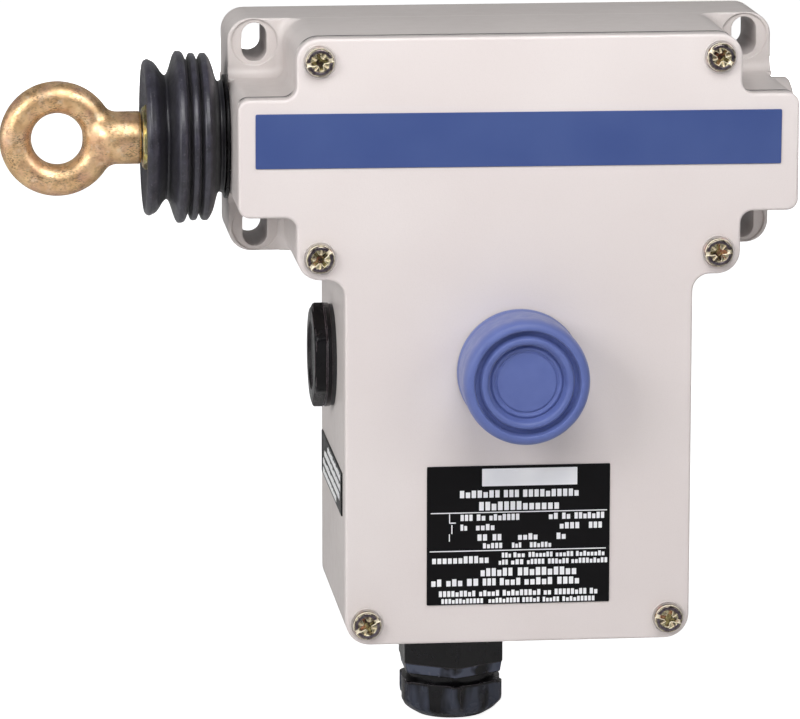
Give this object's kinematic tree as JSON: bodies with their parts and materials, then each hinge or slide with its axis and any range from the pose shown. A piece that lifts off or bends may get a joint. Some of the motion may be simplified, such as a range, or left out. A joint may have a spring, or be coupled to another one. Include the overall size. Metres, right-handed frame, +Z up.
{
  "type": "rope pull switch",
  "caption": "Cast T-shaped rope pull switch with a pull eye on bellows, an end cap, a booted reset button, a cable gland and slotted wall lugs.",
  "frame": {"origin": "centre of the four fixing slots, on the rear mounting face", "axes": "+X along the pull axis towards the end cap, +Y into the wall, +Z up"},
  "size_m": [0.229, 0.0935, 0.2042],
  "materials": {
    "paint_cover": "satin powder coat",
    "paint_body": "satin powder coat, fine texture",
    "seal_rubber": "matt",
    "zinc_steel": "bright zinc plate",
    "yellow_zinc": "yellow chromate on zinc plate",
    "bellows_rubber": "satin moulded",
    "blue_rubber": "satin moulded silicone",
    "black_plastic": "moulded",
    "blue_film": "satin printed film",
    "black_film": "satin printed film",
    "bronze_bush": "sintered, oiled",
    "contact_copper": "tinned at the ends",
    "brown_moulding": "thermoset moulding",
    "ivory_moulding": "moulded",
    "spring_steel": "drawn wire",
    "brass_plate": "bright"
  },
  "bodies": {
    "root": {"housing": "paint_body", "cover": "paint_cover", "cover_gasket": "seal_rubber", "cover_screws": "zinc_steel", "band_label": "blue_film", "data_plate": "black_film", "side_label": "black_film", "bellows": "bellows_rubber", "bellows_collar": "black_plastic", "front_bush": "bronze_bush", "rear_bush": "bronze_bush", "end_cap": "paint_body", "end_cap_seal": "seal_rubber", "pull_spring": "spring_steel", "lever_pivot_pin": "zinc_steel", "lever_frame": "zinc_steel", "frame_screws": "zinc_steel", "contact_block": "brown_moulding", "block_screws": "zinc_steel", "fixed_contacts": "contact_copper", "terminal_screws": "zinc_steel", "slide_keeper": "zinc_steel", "keeper_screws": "zinc_steel", "latch_pin": "zinc_steel", "latch_spring": "spring_steel", "reset_boot": "blue_rubber", "reset_bezel": "black_plastic", "reset_nut": "black_plastic", "reset_spring": "spring_steel", "gland_body": "black_plastic", "gland_seal": "seal_rubber", "gland_cap": "black_plastic", "gland_ring": "seal_rubber", "blanking_plug": "black_plastic", "plug_ring": "seal_rubber", "earth_screw": "brass_plate"},
    "pull": {"eye_bolt": "yellow_zinc", "eye_lock_nut": "zinc_steel", "bellows_washer": "zinc_steel", "pull_shaft": "zinc_steel", "spring_collar": "zinc_steel", "spring_circlip": "spring_steel", "drive_pin": "zinc_steel"},
    "lever": {"trip_lever": "ivory_moulding"},
    "carriage": {"contact_slide": "ivory_moulding", "slide_pin": "zinc_steel", "contact_bridges": "contact_copper"},
    "button": {"reset_plunger": "black_plastic", "reset_circlip": "spring_steel"},
    "latch_body": {"latch": "ivory_moulding"}
  },
  "joints": [
    {"name": "rope_pull", "type": "slide", "parent": "root", "child": "pull", "axis": [-1, 0, 0], "range_m": [0, 0.014], "stiffness_N_per_m": 2500, "springref_m": -0.004, "deforming": ["bellows", "pull_spring"]},
    {"name": "trip_lever_turn", "type": "hinge", "parent": "root", "child": "lever", "pos_m": [0, -0.0285, -0.034], "axis": [0, -1, 0], "range_deg": [0, 23.29]},
    {"name": "contact_slide_move", "type": "slide", "parent": "root", "child": "carriage", "axis": [1, 0, 0], "range_m": [0, 0.01319]},
    {"name": "reset_press", "type": "slide", "parent": "root", "child": "button", "axis": [0, 1, 0], "range_m": [0, 0.005], "stiffness_N_per_m": 1200, "springref_m": -0.002, "deforming": ["reset_boot", "reset_spring", "latch_spring"]},
    {"name": "latch_turn", "type": "hinge", "parent": "root", "child": "latch_body", "pos_m": [0, -0.047, -0.075], "axis": [-1, 0, 0], "range_deg": [0, 17.52]}
  ],
  "couplings": [
    {"joint": "trip_lever_turn", "follows": "rope_pull", "rad_per_m": 29.006},
    {"joint": "contact_slide_move", "follows": "rope_pull", "ratio": 0.94118},
    {"joint": "latch_turn", "follows": "reset_press", "rad_per_m": 61.087}
  ]
}
